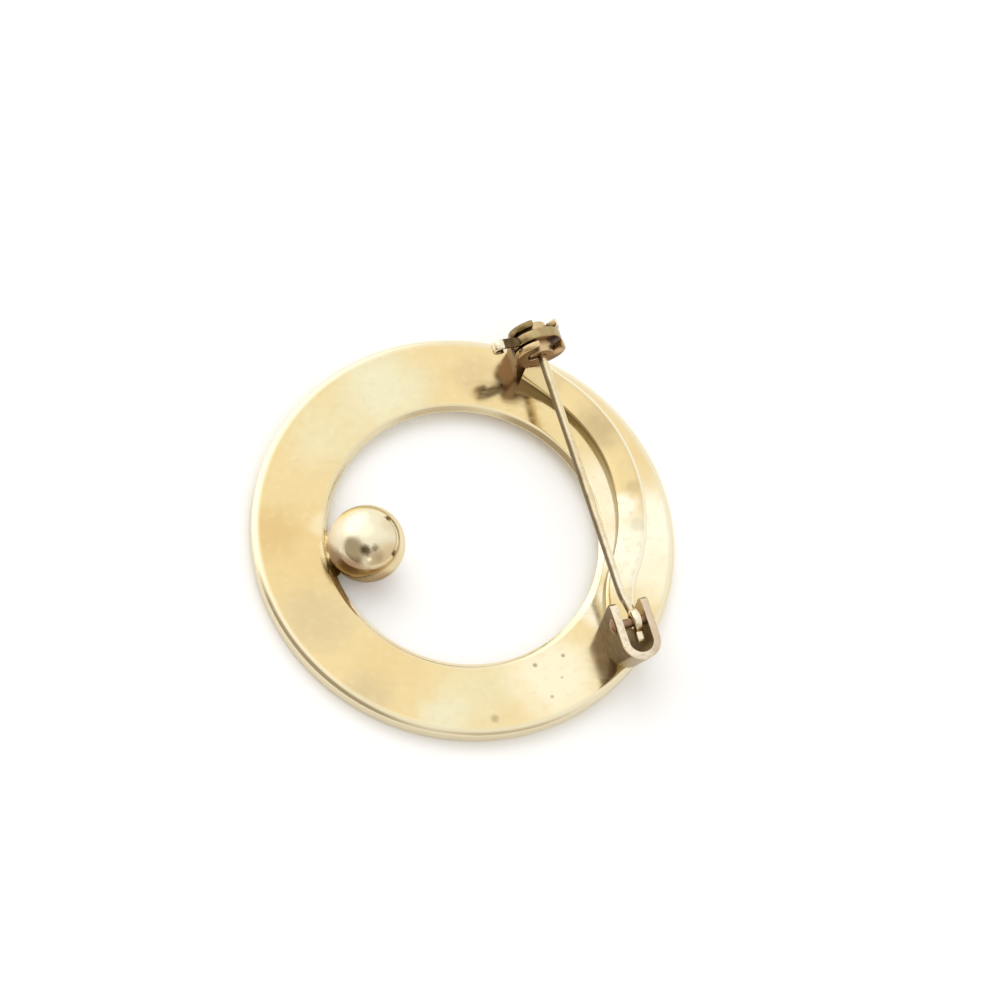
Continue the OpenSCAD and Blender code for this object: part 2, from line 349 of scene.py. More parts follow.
def strip_tree():
    """Sweeps a soft-cornered section along a flat path."""
    graph, given = shape_tree("swept strip", {
        "Width": "NodeSocketFloat", "Thickness": "NodeSocketFloat",
        "Squareness": "NodeSocketFloat", "Section Points": "NodeSocketInt"})
    path = graph.node("GeometryNodeMeshToCurve", {}, {"Mesh": given["Geometry"]})
    level = graph.node("GeometryNodeSetCurveNormal", {"mode": "Z_UP"}, {"Curve": path.outputs[0]})
    circle = graph.node("GeometryNodeCurvePrimitiveCircle", {"mode": "RADIUS"}, {
        "Resolution": given["Section Points"], "Radius": 1.0})
    place = graph.node("GeometryNodeInputPosition", {}, {})
    parts = graph.node("ShaderNodeSeparateXYZ", {}, {"Vector": place.outputs[0]})
    power = 2 / graph.number(given["Squareness"])
    sides = []
    for axis, size in (("X", given["Width"]), ("Y", given["Thickness"])):
        side = graph.number(parts.outputs[axis])
        rounded = abs(side) ** power
        sides.append(graph.maths("SIGN", side) * rounded * graph.number(size) / 2)
    corner = graph.node("ShaderNodeCombineXYZ", {}, {"X": sides[0], "Y": sides[1]})
    section = graph.node("GeometryNodeSetPosition", {}, {
        "Geometry": circle.outputs[0], "Position": corner.outputs[0]})
    swept = graph.node("GeometryNodeCurveToMesh", {}, {
        "Curve": level.outputs[0], "Profile Curve": section.outputs[0], "Fill Caps": True})
    return end_tree(graph, given, swept.outputs[0])


def wire_tree():
    """Draws a round wire along a path, whose points carry the wire's radius."""
    graph, given = shape_tree("round wire", {"Around": "NodeSocketInt"})
    path = graph.node("GeometryNodeMeshToCurve", {}, {"Mesh": given["Geometry"]})
    circle = graph.node("GeometryNodeCurvePrimitiveCircle", {"mode": "RADIUS"}, {
        "Resolution": given["Around"], "Radius": 1.0})
    radius = graph.node("GeometryNodeInputNamedAttribute", {"data_type": "FLOAT"}, {
        "Name": "radius"})
    swept = graph.node("GeometryNodeCurveToMesh", {}, {
        "Curve": path.outputs[0], "Profile Curve": circle.outputs[0],
        "Scale": radius.outputs["Attribute"], "Fill Caps": True})
    return end_tree(graph, given, swept.outputs[0])


TURNED = turned_tree()
STRIP = strip_tree()
WIRE = wire_tree()


# Drawing

def arc(centre, radius, start, end, steps):
    """Points on an arc, from one angle to another in degrees."""
    points = []
    for step in range(steps + 1):
        angle = math.radians(start + (end - start) * step / steps)
        points.append((centre[0] + radius * math.cos(angle), centre[1] + radius * math.sin(angle)))
    return points


def degrees_of(point):
    """The angle at which a point lies, seen from the middle of its drawing."""
    return math.degrees(math.atan2(point[1], point[0]))


def add_object(name, data):
    """A new object in the scene."""
    piece = bpy.data.objects.new(name, data)
    bpy.context.scene.collection.objects.link(piece)
    return piece


def line_mesh(name, points, closed=False, radii=None):
    """A mesh of joined edges, which the trees take as a path or a section."""
    mesh = bpy.data.meshes.new(name)
    count = len(points)
    edges = [(i, i + 1) for i in range(count - 1)]
    if closed:
        edges.append((count - 1, 0))
    mesh.from_pydata([(*point, 0.0)[:3] for point in points], edges, [])
    if radii:
        attribute = mesh.attributes.new("radius", "FLOAT", "POINT")
        attribute.data.foreach_set("value", radii)
    return mesh


def shaped(tree, mesh, material, **sizes):
    """The plain mesh that a shape tree makes of a path or a section."""
    holder = add_object("shaping", mesh)
    modifier = holder.modifiers.new("shape", "NODES")
    modifier.node_group = tree
    given = {item.name: item.identifier for item in tree.interface.items_tree
             if item.in_out == "INPUT"}
    modifier[given["Material"]] = material
    for label, value in sizes.items():
        modifier[given[label.replace("_", " ")]] = value
    return baked(holder)


def baked(holder):
    """The mesh of an object with its modifiers worked in; the object itself is removed."""
    depsgraph = bpy.context.evaluated_depsgraph_get()
    mesh = bpy.data.meshes.new_from_object(holder.evaluated_get(depsgraph), depsgraph=depsgraph)
    bpy.data.objects.remove(holder)
    return mesh


def inset(outline, distance):
    """The outline moved inwards: to the left as one walks along it."""
    moved = []
    count = len(outline)
    for i in range(count):
        before, here, after = (Vector(outline[(i + k) % count]) for k in (-1, 0, 1))
        first = (here - before).normalized()
        second = (after - here).normalized()
        normal_a = Vector((-first.y, first.x))
        normal_b = Vector((-second.y, second.x))
        corner = (normal_a + normal_b) / (1 + normal_a.dot(normal_b))
        moved.append(here + corner * distance)
    return moved


def stitch(built, rows, closed):
    """Faces between rows of corners, from each row to the next."""
    for lower, upper in zip(rows, rows[1:]):
        count = len(lower)
        for i in range(count if closed else count - 1):
            j = (i + 1) % count
            built.faces.new((lower[i], lower[j], upper[j], upper[i]))


def plate(outlines, low, high, edge):
    """Closed mesh of a flat piece with rounded rims, lying between two heights.

    The first outline runs counterclockwise, and the outlines of holes run clockwise.
    """
    steps = 4
    levels = []
    for step in range(steps + 1):
        angle = math.pi / 2 * step / steps
        levels.append((edge * (1 - math.sin(angle)), low + edge * (1 - math.cos(angle))))
    levels += [(depth, low + high - height) for depth, height in reversed(levels)]
    built = bmesh.new()
    rims = ([], [])
    for outline in outlines:
        rows = [[built.verts.new((p.x, p.y, height)) for p in inset(outline, depth)]
                for depth, height in levels]
        stitch(built, rows, closed=True)
        rims[0].append(rows[0])
        rims[1].append(rows[-1])
    for loops in rims:
        corners = [corner for loop in loops for corner in loop]
        for triangle in tessellate_polygon([[corner.co for corner in loop] for loop in loops]):
            built.faces.new([corners[i] for i in triangle])
    return mesh_of(built)


def mesh_of(built):
    """A mesh made of what bmesh built."""
    mesh = bpy.data.meshes.new("piece")
    built.to_mesh(mesh)
    built.free()
    return mesh


def finish_piece(name, mesh, place, material, part):
    """Lays a mesh in place as a smooth, closed piece of one body that stands for a node."""
    body, slot, node = part
    mesh.transform(Matrix.Scale(MM, 4) @ place)
    built = bmesh.new()
    built.from_mesh(mesh)
    bmesh.ops.remove_doubles(built, verts=built.verts, dist=0.0004 * MM)
    bmesh.ops.recalc_face_normals(built, faces=built.faces)
    for face in built.faces:
        face.smooth = True
    built.to_mesh(mesh)
    built.free()
    mesh.name = name
    mesh.set_sharp_from_angle(angle=CREASE)
    mesh.materials.clear()
    mesh.materials.append(material)
    piece = add_object(name, mesh)
    weighted = piece.modifiers.new("Even shine", "WEIGHTED_NORMAL")
    weighted.keep_sharp = True
    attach(piece, body)
    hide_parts(node)


# Finishes

# Linear colours: the gold tone, paler for painted highlights and painted reflections, and lightly
# tarnished
PALE_CREAM = (0.93, 0.88, 0.70)
PALE_GOLD = (0.88, 0.80, 0.58)
CREAM = (0.86, 0.77, 0.58)
PALE_TAN = (0.78, 0.66, 0.42)
PALE_GREEN = (0.76, 0.71, 0.48)
GOLD = (0.76, 0.60, 0.31)
WARM_GOLD = (0.74, 0.55, 0.26)
AMBER = (0.68, 0.48, 0.21)
TAN = (0.66, 0.50, 0.27)
STRAW = (0.64, 0.48, 0.26)
DUN = (0.63, 0.50, 0.28)
FAWN = (0.55, 0.42, 0.22)
# Brass tones of the bracket and the catch; the palest is the painted highlight along the bracket's
# rim
RIM_HIGHLIGHT_BRASS = (0.80, 0.70, 0.54)
SALMON = (0.80, 0.60, 0.47)
BRASS = (0.68, 0.55, 0.37)
DULL_BRASS = (0.60, 0.49, 0.31)
HAZEL = (0.43, 0.33, 0.16)
# Browns of tarnish and stains, also used for painted shade and painted dark reflections
COPPER = (0.38, 0.24, 0.13)
BALL_DARK_REFLECTION = (0.36, 0.25, 0.14)
CHESTNUT = (0.36, 0.23, 0.15)
RED_BROWN_REFLECTION = (0.34, 0.17, 0.09)
WALL_SHADE_OLIVE = (0.31, 0.25, 0.135)
OLIVE = (0.27, 0.20, 0.085)
RUSSET = (0.24, 0.13, 0.075)
FOOT_BROWN = (0.23, 0.12, 0.06)
TARNISH_AND_DARK_REFLECTION = (0.16, 0.11, 0.055)
UMBER = (0.095, 0.060, 0.028)

Patch = namedtuple("Patch", "place radius tint strength")
# Broad patches on the ring's back, partly tone of the metal and partly painted light: the pale
# ones stand for brighter reflected light. Place and radius in millimetres, tint, strength
RING_TONE_AND_PAINTED_LIGHT = [
    Patch((-14.5, -2.0, 0), 7.0, WARM_GOLD, 0.8),
    Patch((-13.4, -8.2, 0), 4.5, DUN, 0.7),
    Patch((-9.2, -15.5, 0), 3.6, DUN, 0.8),
    Patch((-7.5, -12.0, 0), 4.0, WARM_GOLD, 0.5),
    Patch((-12.2, 9.5, 0), 5.0, PALE_GREEN, 0.5),
    Patch((-7.0, 14.0, 0), 6.0, PALE_GREEN, 0.95),
    Patch((-2.6, -17.3, 0), 3.2, PALE_GREEN, 0.9),
    Patch((1.4, 15.2, 0), 3.0, TAN, 0.7),
    Patch((17.5, -2.0, 0), 6.0, PALE_GOLD, 1.0),
    Patch((12.2, 5.0, 0), 4.5, PALE_GOLD, 0.8),
    Patch((15.8, 8.6, 0), 1.8, WARM_GOLD, 0.25),
    Patch((7.5, -13.5, 0), 6.5, PALE_GOLD, 0.9),
    Patch((0.5, -15.2, 0), 5.0, PALE_GREEN, 0.5),
    Patch((17.6, 2.5, 0), 5.0, PALE_CREAM, 0.9),
    Patch((12.9, -1.0, 0), 4.0, PALE_CREAM, 0.7),
    Patch((11.8, -6.5, 0), 3.0, PALE_CREAM, 0.7),
    Patch((-17.2, -0.5, 0), 3.5, AMBER, 0.8),
    Patch((-12.75, 0.9, 0), 1.4, PALE_GOLD, 0.4),
]
# Painted light on the bar's top: pale reflections over its lower part, a bright painted highlight,
# painted dark spots beside it and a fawn painted reflection near the catch
BAR_PAINTED_LIGHT = [
    Patch((15.0, -1.5, 2.8), 6.0, PALE_CREAM, 0.9),
    Patch((14.5, 3.1, 2.8), 1.6, PALE_CREAM, 0.9),
    Patch((15.1, 4.9, 2.8), 1.1, OLIVE, 0.25),
    Patch((15.5, 1.2, 2.8), 0.9, OLIVE, 0.2),
    Patch((11.9, 10.2, 2.8), 3.2, FAWN, 0.9),
]
# Where the bar rises to the catch
BAR_END = (6.5, 14.5, 2.8)
# Tarnish spots on the ring's back
RING_SPOTS = [
    Patch((5.98, -12.22, 0), 0.30, TARNISH_AND_DARK_REFLECTION, 0.6),
    Patch((8.53, -11.17, 0), 0.28, TARNISH_AND_DARK_REFLECTION, 0.6),
    Patch((8.37, -13.29, 0), 0.22, TARNISH_AND_DARK_REFLECTION, 0.5),
    Patch((7.41, -15.15, 0), 0.26, TARNISH_AND_DARK_REFLECTION, 0.5),
    Patch((2.21, -17.45, 0), 0.55, TARNISH_AND_DARK_REFLECTION, 0.4),
]
# Painted reflections on the ball, from its middle: dark spots, red-brown and tan patches and a
# pale one, standing for what the bead mirrors
BALL_PAINTED_REFLECTIONS = [
    Patch((-1.74, -2.62, 1.41), 1.1, RED_BROWN_REFLECTION, 0.5),
    Patch((1.03, -2.99, 1.37), 0.9, RED_BROWN_REFLECTION, 0.45),
    Patch((1.58, -2.29, 2.05), 2.4, TAN, 0.8),
    Patch((-0.60, -1.84, 2.86), 0.75, TARNISH_AND_DARK_REFLECTION, 1.0),
    Patch((0.19, -1.68, 3.01), 0.45, TARNISH_AND_DARK_REFLECTION, 0.7),
    Patch((1.52, 0.66, 3.03), 1.3, TAN, 0.4),
    Patch((-1.61, 2.59, 1.61), 1.7, PALE_CREAM, 0.9),
]
# The side of the ball that is painted brown, a painted reflection of the darker side of the room
BALL_PAINTED_DARK_SIDE = (-0.34, -0.76, -0.55)
# The side that is soldered to the ring and matt with flux
BALL_RING_SIDE = (-0.95, 0.02, 0.15)
FLUX_SHINE = (0.8, 0.72, 0.55)


def finish(name):
    """A new material's graph, its metal shader and the place on the brooch in millimetres."""
    material = bpy.data.materials.new(name)
    material.use_nodes = True
    material.node_tree.nodes.clear()
    graph = Graph(material.node_tree)
    metal = graph.node("ShaderNodeBsdfPrincipled", {}, {"Metallic": 1.0})
    graph.node("ShaderNodeOutputMaterial", {}, {"Surface": metal.outputs[0]})
    seat = graph.node("ShaderNodeTexCoord", {}, {})
    scaled = graph.node("ShaderNodeMapping", {"vector_type": "POINT"}, {
        "Vector": seat.outputs["Object"], "Scale": (1 / MM, 1 / MM, 1 / MM)})
    return material, graph, metal, scaled.outputs[0]


def feed(graph, metal, socket, value):
    """Links a number or a colour to one of the metal's sockets."""
    source = value.socket if isinstance(value, Number) else value
    graph.tree.links.new(source, metal.inputs[socket])


def dress(graph, metal, tone, roughness, height):
    """Gives the metal its tone, its roughness and a relief, whose height is in millimetres."""
    bump = graph.node("ShaderNodeBump", {}, {"Strength": 1.0, "Distance": MM, "Height": height})
    feed(graph, metal, "Base Color", tone)
    feed(graph, metal, "Roughness", roughness)
    feed(graph, metal, "Normal", bump.outputs["Normal"])


def patched(graph, place, tone, patches, wander):
    """The tone with soft patches laid over it, their outlines made uneven by wander."""
    for patch in patches:
        away = graph.measure("DISTANCE", place, patch.place) + wander
        share = (1 - graph.ramp(away, 0.2 * patch.radius, patch.radius)) * patch.strength
        tone = graph.mixed(share, tone, patch.tint)
    return tone


def part_of(graph, vector, axis):
    """One of a vector's three numbers."""
    parts = graph.node("ShaderNodeSeparateXYZ", {}, {"Vector": vector})
    return graph.number(parts.outputs[axis])


def turned_to(graph, way):
    """How far the surface is turned towards a direction: 1 is straight at it."""
    seat = graph.node("ShaderNodeTexCoord", {}, {})
    return graph.measure("DOT_PRODUCT", seat.outputs["Normal"], way)


def reach(graph, place, origin, way):
    """How far a point lies from an origin in one direction."""
    return graph.measure("DOT_PRODUCT", graph.vector("SUBTRACT", place, origin), way)


def from_axis(graph, place, origin, axis):
    """How far a point is from an axis."""
    along = reach(graph, place, origin, axis)
    whole = graph.measure("DISTANCE", place, origin)
    return graph.maths("SQRT", whole * whole - along * along)


def ring_finish():
    """Polished plate with broad patches of tone and painted light, a few tarnish spots and paler
    rims painted as highlights.
    """
    material, graph, metal, place = finish("ring_polish")
    flat = graph.vector("MULTIPLY", place, (1, 1, 0))
    wander = graph.noise(place, 0.35, 2.0)
    blotch = graph.noise(place, 1.1, 3.0, 0.6)
    # Patches of tone; the pale ones are painted light
    tone = patched(graph, flat, GOLD, RING_TONE_AND_PAINTED_LIGHT, (wander - 0.5) * 3)
    tone = graph.mixed(graph.ramp(blotch, 0.5, 0.75) * 0.2, tone, TAN)
    tone = graph.mixed(graph.ramp(blotch, 0.48, 0.25) * 0.15, tone, PALE_GOLD)
    radius = graph.measure("LENGTH", flat)
    # Painted highlights along the outer and inner rolled edges
    rim = graph.ramp(radius, RING_R - 0.8, RING_R - 0.3) * 0.85
    inner_rim = graph.ramp(radius, HOLE_R + 0.75, HOLE_R + 0.4) * 0.6
    tone = graph.mixed(rim + inner_rim, tone, PALE_GOLD)
    tone = patched(graph, flat, tone, RING_SPOTS, (blotch - 0.5) * 0.4)
    smear = graph.noise(graph.vector("MULTIPLY", place, (0.6, 2.2, 1)), 0.8, 4.0, 0.6)
    scratch = graph.noise(graph.vector("MULTIPLY", place, (1.5, 14, 1)), 1.0, 2.0)
    dress(graph, metal, tone, 0.12 + graph.ramp(smear, 0.35, 0.75) * 0.1,
          graph.noise(place, 0.22, 1.0) * 0.06 + scratch * 0.0004)
    return material


def bar_finish():
    """Polished strip with painted light: pale reflections towards its lower end, painted shade on
    its inner wall and a painted highlight along its outer edge.
    """
    material, graph, metal, place = finish("bar_polish")
    wander = graph.noise(place, 0.8, 2.0)
    blotch = graph.noise(place, 1.6, 4.0, 0.6)
    # Painted light on the top: pale reflections, a highlight and dark spots
    tone = patched(graph, place, GOLD, BAR_PAINTED_LIGHT, (wander - 0.5) * 1.5)
    tone = graph.mixed(graph.ramp(blotch, 0.5, 0.75) * 0.35, tone, TAN)
    # Painted shade on the inner wall, darkest near the catch
    wall = graph.ramp(abs(turned_to(graph, upwards)), 0.35, 0.75, 1.0, 0.0)
    flat = graph.vector("NORMALIZE", graph.vector("MULTIPLY", place, (1, 1, 0)))
    outer = graph.ramp(turned_to(graph, flat), 0.08, 0.35)
    by_catch = graph.ramp(graph.measure("DISTANCE", place, BAR_END), 6.0, 2.5)
    dark = graph.mixed(by_catch * 0.7, WALL_SHADE_OLIVE, UMBER)
    tone = graph.mixed(wall * (1 - outer) * 0.88, tone, dark)
    # Painted highlight along the outer edge
    tone = graph.mixed(outer * 0.85, tone, PALE_CREAM)
    dress(graph, metal, tone, 0.14 + wall * 0.15, graph.noise(place, 0.9, 2.0) * 0.012)
    return material


def ball_finish():
    """Bright bead with painted reflections: brown on its lower left and under it, with dark spots
    and tinted patches, and matt with flux beside the ring.
    """
    material, graph, metal, place = finish("ball_polish")
    from_middle = graph.vector("SUBTRACT", place, ball_place())
    wander = graph.noise(place, 1.1, 3.0, 0.6)
    # Painted reflection: the lower left and underside are painted brown
    facing = graph.measure("DOT_PRODUCT", from_middle, BALL_PAINTED_DARK_SIDE) / BALL_R
    painted_dark_reflection = graph.ramp(facing + (wander - 0.5) * 0.3, 0.22, 0.46)
    to_ring = graph.measure("DOT_PRODUCT", from_middle, BALL_RING_SIDE) / BALL_R
    fluxed = graph.ramp(to_ring + (wander - 0.5) * 0.1, 0.66, 0.86)
    tone = graph.mixed(fluxed * 0.9, PALE_GOLD, CREAM)
    tone = graph.mixed(painted_dark_reflection * 0.92, tone, BALL_DARK_REFLECTION)
    # Painted reflections: dark spots and tinted patches
    tone = patched(graph, from_middle, tone, BALL_PAINTED_REFLECTIONS, (wander - 0.5) * 0.8)
    feed(graph, metal, "Metallic", 1 - fluxed * 0.7)
    metal.inputs["Specular Tint"].default_value = colour(FLUX_SHINE)
    dress(graph, metal, tone, 0.12 + graph.ramp(wander, 0.45, 0.7) * 0.08 + fluxed * 0.3,
          graph.noise(place, 0.6, 2.0) * 0.02)
    return material


def solder_finish():
    """Solder with painted light: pale beside the ball's upper side, a painted bright reflection,
    and olive-brown at its lower end, a painted dark reflection.
    """
    material, graph, metal, place = finish("solder_polish")
    blotch = graph.noise(place, 1.4, 3.0, 0.6)
    up = part_of(graph, place, "Y") + (blotch - 0.5) * 1.2
    middle = ball_place().y
    # Painted dark reflection low down, painted bright reflection beside the ball's upper side
    tone = graph.mixed(graph.ramp(up, middle - 1.9, middle - 0.6), OLIVE, GOLD)
    tone = graph.mixed(graph.ramp(up, middle - 0.2, middle + 1.2) * 0.7, tone, PALE_GOLD)
    dress(graph, metal, tone, 0.22 + blotch * 0.1, graph.noise(place, 2.0, 2.0) * 0.02)
    return material


def bracket_finish():
    """Strip with painted light: its faces are painted dark brown as shade, dull brass between the
    ears, and rosy bright along its top rim as a painted highlight.
    """
    material, graph, metal, place = finish("bracket_polish")
    blotch = graph.noise(place, 1.3, 4.0, 0.65)
    speck = graph.noise(place, 3.2, 2.0)
    rim = RIVET.z + EAR_TOP
    height = part_of(graph, place, "Z") + (blotch - 0.5) * 0.3
    # Painted highlight along the top rim; the faces below it are painted dark as shade
    painted_rim_highlight = graph.ramp(height, rim - 0.32, rim - 0.12)
    dark = graph.mixed(graph.ramp(blotch, 0.35, 0.8) * 0.5, UMBER, COPPER)
    side = reach(graph, place, RIVET, to_left)
    off_middle = abs(side + BRACKET_SHIFT)
    inside = graph.ramp(off_middle, EAR_GAP / 2 + 0.25, EAR_GAP / 2 + 0.05)
    dark = graph.mixed(inside * 0.75, dark, DULL_BRASS)
    bright = graph.mixed(graph.ramp(blotch, 0.42, 0.68) * 0.6, RIM_HIGHLIGHT_BRASS, BRASS)
    bright = graph.mixed(graph.ramp(side, -0.3, -1.1) * 0.4, bright, COPPER)
    bright = graph.mixed(graph.ramp(speck, 0.48, 0.72) * 0.45, bright, FAWN)
    dress(graph, metal, graph.mixed(painted_rim_highlight, dark, bright), 0.42 - painted_rim_highlight * 0.15,
          speck * 0.004 + blotch * 0.012)
    return material


def drum_finish(name, highlight_from, rim, face, roughness=0.3, patches=()):
    """Tarnished metal round the catch's axis, whose upper rim, from a radius outwards, is painted
    in another tone as a highlight.
    """
    material, graph, metal, place = finish(name)
    blotch = graph.noise(place, 1.3, 4.0, 0.65)
    speck = graph.noise(place, 5.0, 2.0)
    out = from_axis(graph, place, CATCH, towards_catch) + (blotch - 0.5) * 0.1
    # Painted highlight: only the upper half of the rim takes the brighter tone
    upper = graph.ramp(part_of(graph, place, "Z"), CATCH.z, CATCH.z + 0.9)
    painted_rim_highlight = graph.ramp(out, highlight_from - 0.06, highlight_from + 0.06) * upper
    dark = graph.mixed(graph.ramp(blotch, 0.42, 0.7), face, TARNISH_AND_DARK_REFLECTION)
    bright = graph.mixed(graph.ramp(blotch, 0.5, 0.7) * 0.7, rim, COPPER)
    bright = graph.mixed(graph.ramp(speck, 0.6, 0.75) * 0.4, bright, COPPER)
    tone = patched(graph, place, graph.mixed(painted_rim_highlight, dark, bright), patches, (blotch - 0.5) * 0.5)
    dress(graph, metal, tone, roughness - painted_rim_highlight * 0.1, speck * 0.01 + blotch * 0.015)
    return material


def foot_finish():
    """Turned-up foot: red-brown low down, painted red-brown on its left face as shade, and paler
    where it nears the turning disc.
    """
    material, graph, metal, place = finish("foot_polish")
    blotch = graph.noise(place, 1.1, 3.0, 0.6)
    height = part_of(graph, place, "Z") + (blotch - 0.5) * 0.8
    tone = graph.mixed(graph.ramp(height, CATCH.z - 1.9, CATCH.z - 0.9) * 0.7, FOOT_BROWN, STRAW)
    tone = graph.mixed(graph.ramp(blotch, 0.45, 0.7) * 0.5, tone, RUSSET)
    # Painted shade on the left face
    left = graph.ramp(turned_to(graph, to_left), 0.2, 0.6)
    tone = graph.mixed(left * 0.75, tone, FOOT_BROWN)
    dress(graph, metal, tone, 0.3 + blotch * 0.1, blotch * 0.01)
    return material


def hub_finish():
    """Hub whose ends are brown and whose round side is painted paler as a highlight."""
    material, graph, metal, place = finish("hub_polish")
    blotch = graph.noise(place, 1.6, 3.0, 0.6)
    end = abs(turned_to(graph, towards_catch))
    face = graph.mixed(graph.ramp(blotch, 0.4, 0.65) * 0.8, CHESTNUT, RUSSET)
    # Painted highlight on the round side
    tone = graph.mixed(graph.ramp(end, 0.4, 0.8), STRAW, face)
    dress(graph, metal, tone, 0.3 + blotch * 0.1, blotch * 0.01)
    return material


def pin_finish():
    """Gold-tone wire whose left flank is painted dark brown as shade."""
    material, graph, metal, place = finish("pin_polish")
    blotch = graph.noise(place, 1.0, 3.0, 0.6)
    side = reach(graph, place, RIVET, to_left)
    along = reach(graph, place, RIVET, towards_catch)
    # Painted shade on the left flank
    painted_shade_flank = graph.ramp(side + (blotch - 0.5) * 0.15, 0.04, 0.26)
    tone = graph.mixed(graph.ramp(along, 4.0, 13.0), CREAM, PALE_TAN)
    tone = graph.mixed(graph.ramp(blotch, 0.45, 0.7) * 0.5, tone, DUN)
    tone = graph.mixed(painted_shade_flank * 0.8, tone, UMBER)
    dress(graph, metal, tone, 0.18 + painted_shade_flank * 0.1, blotch * 0.006)
    return material


def rivet_finish():
    """Brown rivet, duller in soft patches, with a slightly uneven surface."""
    material, graph, metal, place = finish("rivet_polish")
    blotch = graph.noise(place, 0.9, 4.0, 0.65)
    speck = graph.noise(place, 4.0, 2.0)
    tone = graph.mixed(graph.ramp(blotch, 0.45, 0.72) * 0.6, CHESTNUT, RUSSET)
    tone = graph.mixed(graph.ramp(speck, 0.62, 0.78) * 0.42, tone, RUSSET)
    dress(graph, metal, tone, 0.3 + graph.ramp(blotch, 0.4, 0.8) * 0.12,
          graph.noise(place, 1.2, 2.0) * 0.01 + speck * 0.002)
    return material


def ball_place():
    """Middle of the ball, which bites a little into the ring's inner edge."""
    at_back = math.sqrt(BALL_R ** 2 - (RING_T - BALL_R) ** 2)
    out = HOLE_R + BALL_BITE - at_back
    return Vector((out * math.cos(BALL_TURN), out * math.sin(BALL_TURN), BALL_R))


def solder_place():
    """Middle of the solder, on the ring's back beside the ball."""
    place = ball_place() + SOLDER_AT * Vector((math.cos(BALL_TURN), math.sin(BALL_TURN), 0))
    return Vector((place.x, place.y, RING_T))


RING_POLISH = ring_finish()
BALL_POLISH = ball_finish()
SOLDER_POLISH = solder_finish()
BAR_POLISH = bar_finish()
BRACKET_POLISH = bracket_finish()
RIVET_POLISH = rivet_finish()
# A rosy patch on the right of the near cheek, and a pale painted highlight on the far cheek's
# right block
NEAR_CHEEK_SPOT = RIVET + towards_catch * CATCH_NEAR - to_left * 1.5
FAR_CHEEK_HIGHLIGHT = RIVET + towards_catch * CATCH_FAR - to_left * 1.9 + upwards * 1.0
NEAR_CHEEK_POLISH = drum_finish("near_cheek_polish", CHEEK_R - 0.2, STRAW, RUSSET, 0.34,
                                [Patch(NEAR_CHEEK_SPOT, 1.1, SALMON, 0.9)])
FAR_CHEEK_POLISH = drum_finish("far_cheek_polish", CHEEK_R - 0.2, OLIVE, TARNISH_AND_DARK_REFLECTION, 0.3,
                               [Patch(FAR_CHEEK_HIGHLIGHT, 1.5, CREAM, 0.9)])
DISC_POLISH = drum_finish("disc_polish", DISC_R - 0.2, HAZEL, RUSSET)
FOOT_POLISH = foot_finish()
HUB_POLISH = hub_finish()
LEVER_POLISH = drum_finish("lever_polish", CURL_AT - 0.1, CREAM, UMBER)
PIN_POLISH = pin_finish()


# Pieces of the body

def rolled_edge(roll):
    """Section of a rolled edge: distance out from the flat back, and depth below it."""
    points = []
    for step in range(ROLL_STEPS + 1):
        slope = roll.slope * step / ROLL_STEPS
        points.append((roll.bend_r * math.sin(slope), roll.bend_r * (1 - math.cos(slope))))
    out = points[-1][0] + roll.bevel * math.cos(roll.slope)
    depth = points[-1][1] + roll.bevel * math.sin(roll.slope)
    for step in range(ROLL_END_STEPS + 1):
        slope = roll.slope + (math.pi / 2 - roll.slope) * step / ROLL_END_STEPS
        points.append((out + roll.end_r * (math.sin(slope) - math.sin(roll.slope)),
                       depth + roll.end_r * (math.cos(roll.slope) - math.cos(slope))))
    return points


def make_ring():
    """The band's section turned round, from the front face over both rolls to the dished front."""
    outer, inner = rolled_edge(OUTER_ROLL), rolled_edge(INNER_ROLL)
    flat_to, flat_from = RING_R - outer[-1][0], HOLE_R + inner[-1][0]
    rim_z = RING_T - inner[-1][1]
    section = arc((RING_R - FRONT_EDGE, FRONT_EDGE), FRONT_EDGE, -90, 0, 6)
    section += [(flat_to + x, RING_T - z) for x, z in reversed(outer)]
    section += [(flat_from - x, RING_T - z) for x, z in inner]
    section += arc((HOLE_R + RIM_R, rim_z - RIM_DROP), RIM_R, 180, 250, 6)
    dish_h = rim_z - RIM_R - RIM_DROP
    section += [(HOLE_R + DISH_W + (DISH_W - RIM_R) * x, dish_h + dish_h * y)
                for x, y in arc((0, 0), 1, 190, 270, 12)]
    loop = line_mesh("band section", section, closed=True)
    mesh = shaped(TURNED, loop, RING_POLISH, Segments=320)
    finish_piece("ring_band", mesh, Matrix.Identity(4), RING_POLISH, BODY)


def make_ball():
    """The ball's half section turned round."""
    section = arc((0, 0), BALL_R, -90, 90, 64)
    mesh = shaped(TURNED, line_mesh("ball section", section), BALL_POLISH, Segments=128)
    finish_piece("ball_bead", mesh, Matrix.Translation(ball_place()), BALL_POLISH, BODY)


